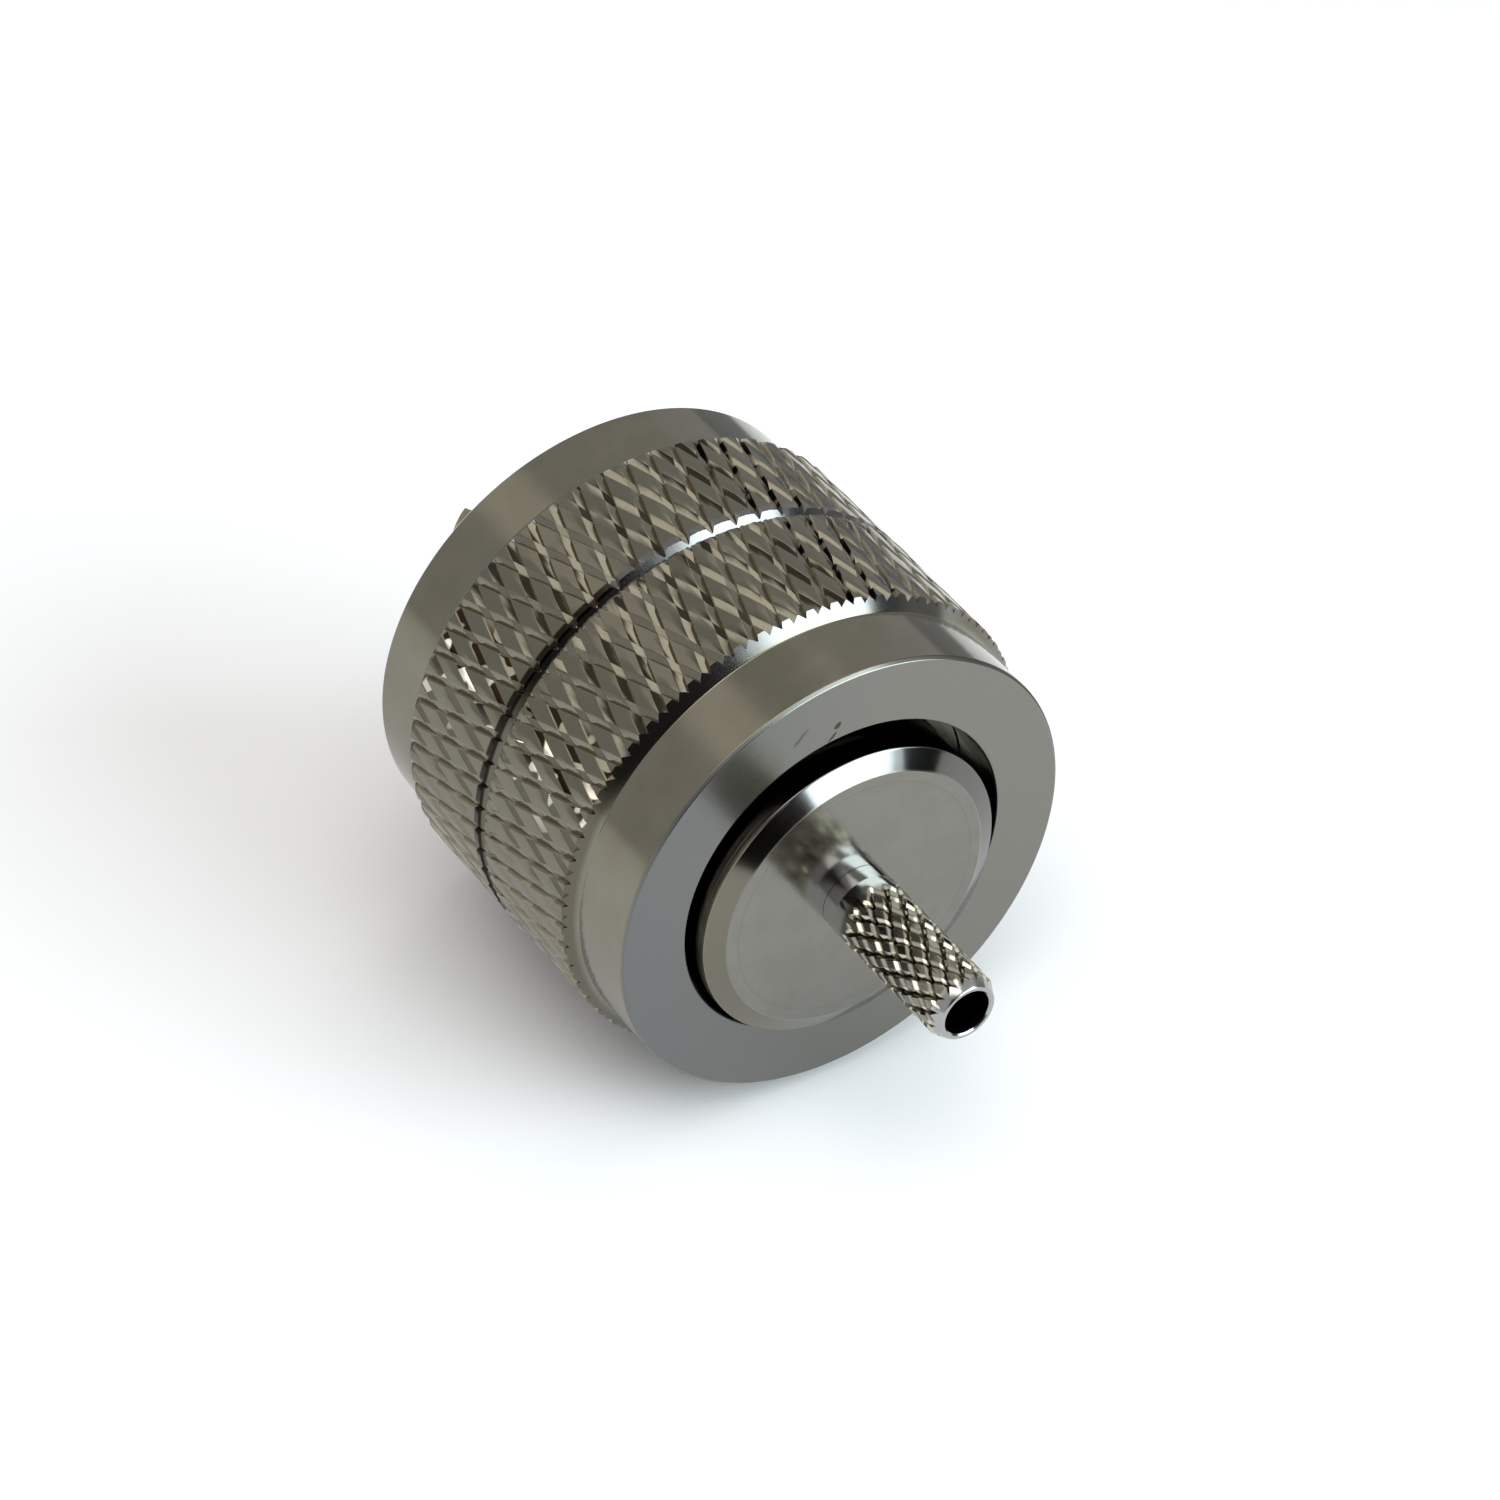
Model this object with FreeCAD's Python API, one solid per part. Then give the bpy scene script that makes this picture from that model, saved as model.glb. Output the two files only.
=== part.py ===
import FreeCAD, Part
import math
import os
from FreeCAD import Vector

os.makedirs("parts", exist_ok=True)

# Crimp UHF plug, in millimetres. The axis is X and +X points at the mating end.
# The origin is on the body's axis where the pin's full diameter leaves the insulator.
# The loose nut lies on its knurl and the body hangs in it, so the nut's axis is a little higher.

# Thread and the walls round it
thread_crest_diameter = 14.8
thread_depth = 0.6
thread_relief_past_flange = 0.15
mouth_chamfer = 0.55
collar_wall = 0.8
knurl_rise = 0.45

# Coupling nut
rear_collar_length = 2.68
knurl_band_length = 10.7
front_collar_length = 2.31
rear_rim_chamfer = 0.15
front_rim_chamfer = 0.12
shoulder_foot_step = 0.02
groove_off_middle = 0.24
groove_width = 0.48
groove_depth = 0.27
lip_thickness = 2.15
rear_hole_gap = 0.46
resting_gap = 0.04

# Nut knurl: flat-topped diamonds in staggered rows
nut_knurl_count = 60
nut_knurl_row_step = 1.535
nut_knurl_depth = 0.22
nut_knurl_land = 0.6
nut_knurl_row_shift = 0.33
nut_knurl_turn_deg = 3.4

# Body head, inside the nut
nut_seat_gap = 0.05
flange_clearance = 0.25
flange_thickness = 2.1
ring_clearance = 0.6
ring_wall = 1.1
head_length = 5.15
rim_step = 0.8
tooth_count = 2
tooth_width = 2.2
tooth_height = 0.7

# Body disc and crimp stem
flange_reach = 1.31
disc_stand_out = 0.36
disc_chamfer_radial = 0.74
disc_chamfer_axial = 0.37
stem_length = 6.67
stem_diameter = 2.64
stem_bore_diameter = 1.75
stem_neck_length = 1.15
stem_neck_drop = 0.02
stem_root_bevel = 0.15
stem_end_chamfer_radial = 0.25
stem_end_chamfer_axial = 0.5

# Stem knurl
stem_knurl_count = 13
stem_knurl_row_step = 0.55
stem_knurl_depth = 0.12
stem_knurl_land = 0.5
stem_knurl_turn_deg = 5.0

# Insulator
insulator_edge = 0.3
insulator_length = 4.4

# Centre pin
pin_diameter = 3.96
pin_length = 15.9
pin_wall = 0.43
pin_bore_floor = 1.2
pin_shoulder = 0.48
pin_tail_length = 3.4
pin_tail_wall = 0.9
pin_tip_chamfer = 0.12
pin_cut_radius = 6.0
pin_cut_past_axis = 0.44
pin_cut_slope_deg = 16.0
pin_cut_turn_deg = 59.0

# Radii, worked out from the sizes above
crest_radius = thread_crest_diameter / 2
relief_radius = crest_radius + thread_depth
collar_radius = relief_radius + collar_wall
knurl_radius = collar_radius + knurl_rise
flange_radius = crest_radius - flange_clearance
ring_radius = crest_radius - ring_clearance
rim_bore_radius = ring_radius - ring_wall
insulator_radius = rim_bore_radius - insulator_edge
disc_radius = flange_radius - flange_reach
hole_radius = disc_radius + rear_hole_gap
nut_lift = rear_hole_gap - resting_gap
stem_radius = stem_diameter / 2
neck_radius = stem_radius - stem_neck_drop
stem_bore_radius = stem_bore_diameter / 2
pin_radius = pin_diameter / 2
pin_bore_radius = pin_radius - pin_wall
pin_tail_radius = pin_radius - pin_shoulder
pin_wire_radius = pin_tail_radius - pin_tail_wall

# Places along the axis, worked out the same way
flange_rear_x = rim_step - head_length
nut_lip_x = flange_rear_x - nut_seat_gap
nut_rear_x = nut_lip_x - lip_thickness
band_rear_x = nut_rear_x + rear_collar_length
band_front_x = band_rear_x + knurl_band_length
nut_front_x = band_front_x + front_collar_length
groove_x = (band_rear_x + band_front_x) / 2 + groove_off_middle
disc_edge_x = nut_rear_x - disc_stand_out
disc_face_x = disc_edge_x - disc_chamfer_axial
stem_end_x = disc_face_x - stem_length
stem_knurl_front_x = disc_face_x - stem_neck_length

# Room that cutting and trimming tools keep past the metal
overrun = 0.5


def turned(points):
    """Solid of revolution about X from corners given as (x, radius)."""
    corners = [Vector(x, 0, radius) for x, radius in points]
    outline = Part.makePolygon(corners + corners[:1])
    return Part.Face(outline).revolve(Vector(0, 0, 0), Vector(1, 0, 0), 360)


def around(angle):
    """Unit vector across the axis, turned from +Z towards -Y."""
    return Vector(0, -math.sin(angle), math.cos(angle))


def at(x, radius, angle):
    """Point at a place along the axis, a radius and an angle about it."""
    return Vector(x, 0, 0) + around(angle) * radius


def closed_solid(loops):
    """Solid bounded by the planar faces inside the given loops of corners."""
    shell = Part.makeShell([Part.Face(Part.makePolygon(loop + loop[:1])) for loop in loops])
    shell.sewShape()
    solid = Part.Solid(shell.Shells[0])
    if solid.Volume < 0:
        solid.reverse()
    return solid


def faceted(points, sides, turn):
    """Many-sided solid about X from (x, radius to the middle of a side), closed by flat ends."""
    angles = [turn + 2 * math.pi * side / sides for side in range(sides)]
    reach = 1 / math.cos(math.pi / sides)
    rings = [[at(x, radius * reach, angle) for angle in angles] for x, radius in points]
    loops = [rings[0], rings[-1]]
    for near, far in zip(rings, rings[1:]):
        for side in range(sides):
            following = (side + 1) % sides
            loops.append([near[side], near[following], far[following], far[side]])
    return closed_solid(loops)


def diamond(x, angle, half_pitch, row_step, top_radius, groove_radius, land):
    """Loops of one raised diamond: a flat top and four planar flanks."""
    out = around(angle)
    side = around(angle + math.pi / 2)
    top_half_width = land * top_radius * math.sin(half_pitch)
    inset = groove_radius * math.sin(half_pitch) - top_half_width
    rise_at_side = top_radius - groove_radius * math.cos(half_pitch)
    rise_at_end = top_radius - groove_radius
    share = top_half_width * rise_at_side
    top_half_length = share * row_step / (inset * rise_at_end + share)
    centre = Vector(x, 0, 0) + out * top_radius
    top = [
        centre + side * top_half_width,
        centre + Vector(top_half_length, 0, 0),
        centre - side * top_half_width,
        centre - Vector(top_half_length, 0, 0),
    ]
    foot = [
        at(x, groove_radius, angle + half_pitch),
        at(x + row_step, groove_radius, angle),
        at(x, groove_radius, angle - half_pitch),
        at(x - row_step, groove_radius, angle),
    ]
    loops = [top]
    for corner in range(4):
        following = (corner + 1) % 4
        loops.append([foot[corner], foot[following], top[following], top[corner]])
    return loops


def knurled_core(from_x, to_x, count, row_step, row_x, turn, top_radius, depth, land):
    """Solid about X whose outside is a diamond knurl from from_x to to_x at least."""
    groove_radius = top_radius - depth
    half_pitch = math.pi / count
    first_row = math.floor((from_x - row_x) / row_step)
    last_row = math.ceil((to_x - row_x) / row_step)
    loops = []
    for row in range(first_row, last_row + 1):
        x = row_x + row * row_step
        for step in range(count):
            angle = turn + half_pitch * (2 * step + row % 2)
            loops += diamond(x, angle, half_pitch, row_step, top_radius, groove_radius, land)
            for end_row, way in ((first_row, -1), (last_row, 1)):
                if row != end_row:
                    continue
                point = at(x + way * row_step, groove_radius, angle)
                apex = Vector(x + way * (row_step + top_radius), 0, 0)
                for neighbour in (-1, 1):
                    loops.append([point, at(x, groove_radius, angle + neighbour * half_pitch), apex])
    return closed_solid(loops)


def knurled_band():
    """The nut's knurl between two 45 degree shoulders, with the groove round it."""
    half_pitch = math.pi / nut_knurl_count
    turn = math.radians(nut_knurl_turn_deg)
    foot_radius = collar_radius + shoulder_foot_step
    clear_radius = knurl_radius + overrun
    shoulder_run = clear_radius - foot_radius
    groove_run = groove_width / 2 * (groove_depth + overrun) / groove_depth
    blank = faceted([
        (band_rear_x, foot_radius),
        (band_rear_x + shoulder_run, clear_radius),
        (groove_x - groove_run, clear_radius),
        (groove_x, knurl_radius - groove_depth),
        (groove_x + groove_run, clear_radius),
        (band_front_x - shoulder_run, clear_radius),
        (band_front_x, foot_radius),
    ], nut_knurl_count, turn + half_pitch / 2)
    knurl = knurled_core(
        band_rear_x, band_front_x, nut_knurl_count, nut_knurl_row_step, groove_x + nut_knurl_row_shift,
        turn, knurl_radius, nut_knurl_depth, nut_knurl_land)
    return blank.common(knurl)


def coupling_nut():
    """Knurled coupling nut with a rear lip, a middle groove and a threaded mouth, at its own height."""
    relief_end_x = flange_rear_x + flange_thickness + thread_relief_past_flange
    rear_collar = turned([
        (nut_rear_x, 0),
        (nut_rear_x, collar_radius - rear_rim_chamfer),
        (nut_rear_x + rear_rim_chamfer, collar_radius),
        (band_rear_x, collar_radius),
        (band_rear_x, 0),
    ])
    front_collar = turned([
        (band_front_x, 0),
        (band_front_x, collar_radius),
        (nut_front_x - front_rim_chamfer, collar_radius),
        (nut_front_x, collar_radius - front_rim_chamfer),
        (nut_front_x, 0),
    ])
    inside = turned([
        (nut_rear_x - overrun, 0),
        (nut_rear_x - overrun, hole_radius),
        (nut_lip_x, hole_radius),
        (nut_lip_x, relief_radius),
        (relief_end_x, relief_radius),
        (relief_end_x, crest_radius),
        (nut_front_x - mouth_chamfer, crest_radius),
        (nut_front_x + overrun, crest_radius + mouth_chamfer + overrun),
        (nut_front_x + overrun, 0),
    ])
    nut = knurled_band().fuse([rear_collar, front_collar]).cut(inside)
    nut.translate(Vector(0, 0, nut_lift))
    return nut


def stem():
    """Crimp stem: bevelled root, plain neck, diamond knurl and chamfered end, not yet bored."""
    clear_radius = stem_radius + overrun
    end_radius = stem_radius - stem_end_chamfer_radial
    chamfer_run = stem_end_chamfer_axial / stem_end_chamfer_radial * (clear_radius - end_radius)
    turn = math.radians(stem_knurl_turn_deg)
    half_pitch = math.pi / stem_knurl_count
    blank = faceted([
        (stem_end_x, end_radius),
        (stem_end_x + chamfer_run, clear_radius),
        (stem_knurl_front_x, clear_radius),
    ], 2 * stem_knurl_count, turn + half_pitch / 2)
    knurl = knurled_core(
        stem_end_x, stem_knurl_front_x, stem_knurl_count, stem_knurl_row_step, stem_knurl_front_x,
        turn, stem_radius, stem_knurl_depth, stem_knurl_land)
    neck = turned([
        (stem_knurl_front_x, 0),
        (stem_knurl_front_x, neck_radius),
        (disc_face_x - stem_root_bevel, neck_radius),
        (disc_face_x + overrun, neck_radius + stem_root_bevel + overrun),
        (disc_face_x + overrun, 0),
    ])
    return blank.common(knurl).fuse(neck)


def teeth():
    """Teeth on the ring's front that catch the notches in a jack's rim."""
    tooth_ring = turned([
        (rim_step - overrun, rim_bore_radius),
        (rim_step - overrun, ring_radius),
        (rim_step + tooth_height, ring_radius),
        (rim_step + tooth_height, rim_bore_radius),
    ])
    corner = Vector(rim_step - overrun, 0, -tooth_width / 2)
    bar = Part.makeBox(overrun + tooth_height, 2 * ring_radius, tooth_width, corner)
    found = []
    for index in range(tooth_count):
        placed = bar.copy()
        placed.rotate(Vector(0, 0, 0), Vector(1, 0, 0), 360 * index / tooth_count)
        found.append(tooth_ring.common(placed))
    return found


def plug_body():
    """Turned body: toothed ring and flange, disc behind the nut's hole, knurled crimp stem."""
    head = turned([
        (disc_face_x, 0),
        (disc_face_x, disc_radius - disc_chamfer_radial),
        (disc_edge_x, disc_radius),
        (flange_rear_x, disc_radius),
        (flange_rear_x, flange_radius),
        (flange_rear_x + flange_thickness, flange_radius),
        (flange_rear_x + flange_thickness, ring_radius),
        (rim_step, ring_radius),
        (rim_step, 0),
    ])
    cavity = turned([
        (-insulator_length, 0),
        (-insulator_length, insulator_radius),
        (0, insulator_radius),
        (0, rim_bore_radius),
        (rim_step + overrun, rim_bore_radius),
        (rim_step + overrun, 0),
    ])
    bore_from = Vector(stem_end_x - overrun, 0, 0)
    bore_length = overrun - insulator_length - bore_from.x
    bore = Part.makeCylinder(stem_bore_radius, bore_length, bore_from, Vector(1, 0, 0))
    return head.fuse([stem()] + teeth()).cut([cavity, bore])


def insulator():
    """Pressed-in insulator, bored for the pin's tail and, behind it, as the stem is."""
    return turned([
        (-insulator_length, stem_bore_radius),
        (-insulator_length, insulator_radius),
        (0, insulator_radius),
        (0, pin_tail_radius),
        (-pin_tail_length, pin_tail_radius),
        (-pin_tail_length, stem_bore_radius),
    ])


def centre_pin():
    """Hollow pin with a pressed tail and a tip cut away on one side for the solder."""
    tube = turned([
        (-pin_tail_length, pin_wire_radius),
        (-pin_tail_length, pin_tail_radius),
        (0, pin_tail_radius),
        (0, pin_radius),
        (pin_length - pin_tip_chamfer, pin_radius),
        (pin_length, pin_radius - pin_tip_chamfer),
        (pin_length, pin_bore_radius),
        (pin_bore_floor, pin_bore_radius),
        (pin_bore_floor - pin_bore_radius + pin_wire_radius, pin_wire_radius),
    ])
    slope = math.radians(pin_cut_slope_deg)
    across = around(math.radians(pin_cut_turn_deg))
    along = around(math.radians(pin_cut_turn_deg + 90))
    middle = Vector(pin_length + pin_cut_radius * math.sin(slope), 0, 0)
    middle += across * (pin_cut_radius * math.cos(slope) - pin_cut_past_axis)
    cutter = Part.makeCylinder(pin_cut_radius, 2 * pin_diameter, middle - along * pin_diameter, along)
    return tube.cut(cutter)


for name, make in (
        ("coupling_nut", coupling_nut),
        ("plug_body", plug_body),
        ("insulator", insulator),
        ("centre_pin", centre_pin)):
    shape = make()
    solids = shape.Solids
    print(name, len(solids), shape.isValid(), round(shape.Volume, 3), len(shape.Faces))
    solids[0].exportStep("parts/" + name + ".step")
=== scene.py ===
import math
from collections import namedtuple

import bmesh
import bpy
from mathutils import Matrix, Vector


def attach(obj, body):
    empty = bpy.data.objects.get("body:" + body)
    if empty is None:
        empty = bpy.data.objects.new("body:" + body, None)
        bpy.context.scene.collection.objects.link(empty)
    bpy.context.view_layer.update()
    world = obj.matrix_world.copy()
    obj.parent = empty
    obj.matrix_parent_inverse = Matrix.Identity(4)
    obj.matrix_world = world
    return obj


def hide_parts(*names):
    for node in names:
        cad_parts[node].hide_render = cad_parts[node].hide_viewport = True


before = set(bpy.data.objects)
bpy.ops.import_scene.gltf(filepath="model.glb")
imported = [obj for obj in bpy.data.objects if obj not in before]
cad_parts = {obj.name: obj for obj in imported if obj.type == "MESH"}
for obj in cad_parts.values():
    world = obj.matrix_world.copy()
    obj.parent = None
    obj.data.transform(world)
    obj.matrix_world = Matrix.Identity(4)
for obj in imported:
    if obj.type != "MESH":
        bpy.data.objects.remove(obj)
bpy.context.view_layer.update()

# Lengths are in millimetres up to the mesh makers, which turn them into metres.
MM = 0.001

# The nut's sizes. Its axis is nut_lift above the body's.
nut_lift = 0.42
nut_rear_x = -6.55
band_rear_x = -3.87
band_front_x = 6.83
nut_front_x = 9.14
nut_lip_x = -4.4
groove_x = 1.72
groove_depth = 0.31
collar_radius = 8.8
collar_bevel = 0.11
knurl_radius = 9.25
hole_radius = 6.3
relief_radius = 8.0
relief_end_x = -2.1
mouth_bevel = 0.55
thread_crest_radius = 7.4
thread_depth = 0.54
thread_pitch = 1.058
thread_turns = 12

# The body's sizes
disc_radius = 5.84
disc_chamfer = 0.74
disc_edge_x = -6.91
disc_face_x = -7.28
stem_end_x = -13.95
stem_radius = 1.32
stem_end_radius = 1.03
stem_chamfer_length = 0.5
stem_knurl_front_x = -8.43
stem_bore_radius = 0.875
neck_radius = 1.3
neck_end_x = stem_knurl_front_x + 0.4
flange_rear_x = -4.35
flange_front_x = -2.25
flange_radius = 7.15
ring_radius = 6.8
rim_bore_radius = 5.7
rim_x = 0.8
tooth_length = 0.7
tooth_half_width = 1.1

# The insulator's and the pin's sizes
insulator_radius = 5.4
insulator_length = 4.4
pin_radius = 1.98
pin_length = 15.9
pin_wall = 0.43
pin_bore_end_x = 1.2
pin_tail_radius = 1.5
pin_tail_length = 3.4
wire_hole_radius = 0.6
side_cut_radius = 6.0
side_cut_depth = 0.44
side_cut_slope_deg = 16
side_cut_turn_deg = 59

# The knurls. The lands are how far a flat top reaches towards the grooves behind and in front, as shares.
nut_knurl = {
    "around": 60, "row_step": 1.535, "row_x": groove_x + 0.02, "turn_deg": 4.0,
    "top_radius": knurl_radius - 0.012, "depth": 0.165, "lands": (0.38, 0.95), "unevenness": 0.03}
stem_knurl = {
    "around": 13, "row_step": 0.55, "row_x": stem_knurl_front_x, "turn_deg": 5.0,
    "top_radius": stem_radius - 0.006, "depth": 0.15, "lands": (0.42, 0.55), "unevenness": 0.05}

# The floor, just under the nut's knurl
floor_z = nut_lift - knurl_radius - 0.01


# Shader and geometry maths

class Signal:
    """A socket that can be used in sums, each of which adds its Math node."""

    def __init__(self, wiring, socket):
        self.wiring = wiring
        self.socket = socket

    def maths(self, operation, *values):
        sockets = dict(enumerate(values))
        return self.wiring.add("ShaderNodeMath", {"operation": operation}, sockets)

    def __add__(self, other):
        return self.maths("ADD", self, other)

    def __sub__(self, other):
        return self.maths("SUBTRACT", self, other)

    def __rsub__(self, other):
        return self.maths("SUBTRACT", other, self)

    def __mul__(self, other):
        return self.maths("MULTIPLY", self, other)

    def __truediv__(self, other):
        return self.maths("DIVIDE", self, other)

    def __pow__(self, other):
        return self.maths("POWER", self, other)

    __radd__ = __add__
    __rmul__ = __mul__

    def floor(self):
        return self.maths("FLOOR", self)

    def size(self):
        return self.maths("ABSOLUTE", self)

    def most(self, other):
        return self.maths("MAXIMUM", self, other)

    def between(self, low, high):
        """0 at low and 1 at high, with a soft start and end."""
        settings = {"interpolation_type": "SMOOTHSTEP"}
        return self.wiring.add("ShaderNodeMapRange", settings, {0: self, 1: low, 2: high})

    def inside(self, low, high, edge):
        """1 from low to high, and 0 beyond a soft edge on each side."""
        return self.between(low - edge, low) * (1 - self.between(high, high + edge))


class Wiring:
    """A node tree that takes one node per call."""

    def __init__(self, tree):
        self.tree = tree

    def add(self, kind, settings=None, sockets=None, output=0):
        node = self.tree.nodes.new(kind)
        for name, value in (settings or {}).items():
            setattr(node, name, value)
        for name, value in (sockets or {}).items():
            if isinstance(value, Signal):
                self.tree.links.new(value.socket, node.inputs[name])
            else:
                node.inputs[name].default_value = value
        return Signal(self, node.outputs[output]) if node.outputs else node

    def coordinates(self, kind):
        """One output of a Texture Coordinate node."""
        return self.add("ShaderNodeTexCoord", None, None, kind)

    def apart(self, vector):
        """The X, Y and Z of a vector."""
        first = self.add("ShaderNodeSeparateXYZ", None, {0: vector})
        return [Signal(self, output) for output in first.socket.node.outputs]

    def vector(self, x, y, z):
        return self.add("ShaderNodeCombineXYZ", None, {0: x, 1: y, 2: z})

    def vector_maths(self, operation, *values, output=0):
        return self.add("ShaderNodeVectorMath", {"operation": operation}, dict(enumerate(values)), output)

    def scaled(self, vector, factor):
        sockets = {"Vector": vector, "Scale": factor}
        return self.add("ShaderNodeVectorMath", {"operation": "SCALE"}, sockets)

    def noise(self, vector, scale, detail=2.0, roughness=0.5):
        sockets = {"Vector": vector, "Scale": scale, "Detail": detail, "Roughness": roughness}
        return self.add("ShaderNodeTexNoise", None, sockets)

    def blend(self, share, first, second):
        """Colour mixed from two others."""
        return self.add("ShaderNodeMix", {"data_type": "RGBA"}, {0: share, 6: first, 7: second}, 2)

    def bump(self, distance, height):
        """Normal from a height, of which 1 stands for the distance in metres."""
        return self.add("ShaderNodeBump", None, {"Strength": 1.0, "Distance": distance, "Height": height})


def grey(level):
    return (level, level, level, 1)


def colour(red, green, blue):
    return (red, green, blue, 1)


# Finishes

def new_finish(name, constants):
    """A material with its shader's fixed values set, with its wiring and a function that links sockets."""
    material = bpy.data.materials.new(name)
    material.use_nodes = True
    tree = material.node_tree
    tree.nodes.clear()
    wiring = Wiring(tree)
    shader = wiring.add("ShaderNodeBsdfPrincipled", None, constants)
    wiring.add("ShaderNodeOutputMaterial", None, {"Surface": shader})

    def connect(**sockets):
        for name, signal in sockets.items():
            socket = shader.socket.node.inputs[name.replace("_", " ")]
            tree.links.new(signal.socket, socket)

    return material, wiring, connect


Place = namedtuple("Place", "position x y z across angle")


def place_on_axis(wiring, lift=0.0):
    """Where a point lies in millimetres, with its distance and angle about an axis raised by lift."""
    position = wiring.scaled(wiring.coordinates("Object"), 1 / MM)
    x, y, z = wiring.apart(position)
    z = z - lift
    across = wiring.vector_maths("LENGTH", wiring.vector(0.0, y, z), output=1)
    return Place(position, x, y, z, across, y.maths("ARCTAN2", y, z))


def turning_marks(wiring, at, coarse, fine):
    """Height of the rings that a lathe tool leaves, on faces and on cylinders alike."""
    broad = wiring.noise(wiring.vector(at.x * coarse, at.across * coarse, at.angle * 0.35), 1.0, 2.0)
    thin = wiring.noise(wiring.vector(at.x * fine, at.across * fine, at.angle * 0.8), 1.0, 3.0, 0.6)
    return broad * 0.6 + thin * 0.4


def facings(wiring, at):
    """How far a surface faces along the axis, straight out from it and round it."""
    along, aside, upward = wiring.apart(wiring.coordinates("Normal"))
    outward = (aside * at.y + upward * at.z) / at.across
    sideways = (upward * at.y - aside * at.z) / at.across
    return along, outward, sideways


def nick(ragged, at, middle, size, turn_deg):
    """1 inside a small ragged oval round a middle in Y and Z, and 0 outside it."""
    turn = math.radians(turn_deg)
    aside = at.y - middle[0]
    above = at.z - middle[1]
    along = aside * math.cos(turn) + above * math.sin(turn)
    over = above * math.cos(turn) - aside * math.sin(turn)
    reach = (along / size[0]) ** 2.0 + (over / size[1]) ** 2.0 + (ragged - 0.5) * 2.4
    return 1 - reach.between(0.35, 1.1)


def groove_plate_with_painted_shade(wiring, at):
    """Clean plate of the nut's groove and shoulders, with painted shade lower down and a painted black line
    at the edge of the front band.
    """
    # Painted shade: the groove and shoulders are painted darker and warmer lower down, and lighter and
    # neutral at the top.
    plate = wiring.blend(at.z.between(5.4, 7.4), colour(0.125, 0.114, 0.088), colour(0.2, 0.198, 0.186))
    # Painted shade: a black line painted at the edge of the front band, on one side, stands in for a dark
    # reflection.
    line = (at.x - groove_x - 0.08).between(0.0, 0.06) * (groove_x + 0.6 - at.x).between(0.0, 0.1)
    return wiring.blend(line * at.y.between(2.6, 4.2), plate, colour(0.022, 0.017, 0.012))


def knurl_plate(wiring, at, plate, in_knurl, speckle):
    """Plate over the nut's knurl, dull on the tops, darker down the grooves, with painted shade and painted
    highlights on some flanks. Also marks the steep walls.
    """
    knurl_depth = nut_knurl["depth"]
    depth = knurl_radius - at.across
    along, outward, sideways = facings(wiring, at)
    wall = (1 - outward.between(0.35, 0.65)) * in_knurl
    plate = wiring.blend(in_knurl * (1 - depth.between(0.02, 0.05)) * 0.6, plate, colour(0.16, 0.148, 0.115))
    plate = wiring.blend(speckle.between(0.5, 0.75) * in_knurl * 0.3, plate, colour(0.12, 0.108, 0.08))
    bottom = depth.between(knurl_depth - 0.02, knurl_depth) * in_knurl
    plate = wiring.blend(bottom * 0.35, plate, colour(0.08, 0.068, 0.046))
    plate = wiring.blend(wall, plate, colour(0.5, 0.45, 0.35))
    # Painted dark reflections as black pits and painted highlights as bright flanks, both along the steeper
    # grooves and in a few places round the nut
    slant = (along * sideways).between(-0.005, -0.03) * in_knurl
    clumps = wiring.noise(at.position, 1.7, 0.0)
    painted_dark_places = at.angle.inside(0.87, 1.08, 0.07).most(at.angle.inside(-0.47, -0.26, 0.07))
    painted_dark_pits = painted_dark_places * slant * depth.between(0.03, 0.05) * clumps.between(0.44, 0.49)
    plate = wiring.blend(painted_dark_pits, plate, colour(0.015, 0.01, 0.006))
    painted_bright_flanks = at.angle.inside(1.05, 1.22, 0.1) * sideways.between(0.15, 0.3) * slant
    painted_bright_flanks = painted_bright_flanks * depth.between(0.02, 0.04) * (1 - clumps.between(0.4, 0.46))
    return wiring.blend(painted_bright_flanks, plate, colour(0.9, 0.86, 0.76)), wall


def rear_face_marks(wiring, at, mottle, rear_face):
    """Dark nicks and a patch of fine hatching on the nut's rear face."""
    ragged = wiring.noise(wiring.vector(at.y * 5.0, at.z * 5.0, 0.0), 1.0, 3.0, 0.7)
    nicks = nick(ragged, at, (0.3, 6.9), (0.2, 0.11), -40)
    nicks = nicks.most(nick(ragged, at, (0.5, 6.5), (0.3, 0.06), -45))
    nicks = nicks.most(nick(ragged, at, (1.75, 7.05), (0.5, 0.07), -45) * 0.6) * rear_face
    sweep = (at.y * 0.8 + at.z * 0.6) * 16.0 + mottle * 4.0
    patch = nick(ragged, at, (-1.9, 7.5), (1.6, 0.6), -14)
    hatch = sweep.maths("SINE", sweep).between(0.3, 0.9) * patch * rear_face
    return nicks, hatch


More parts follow.
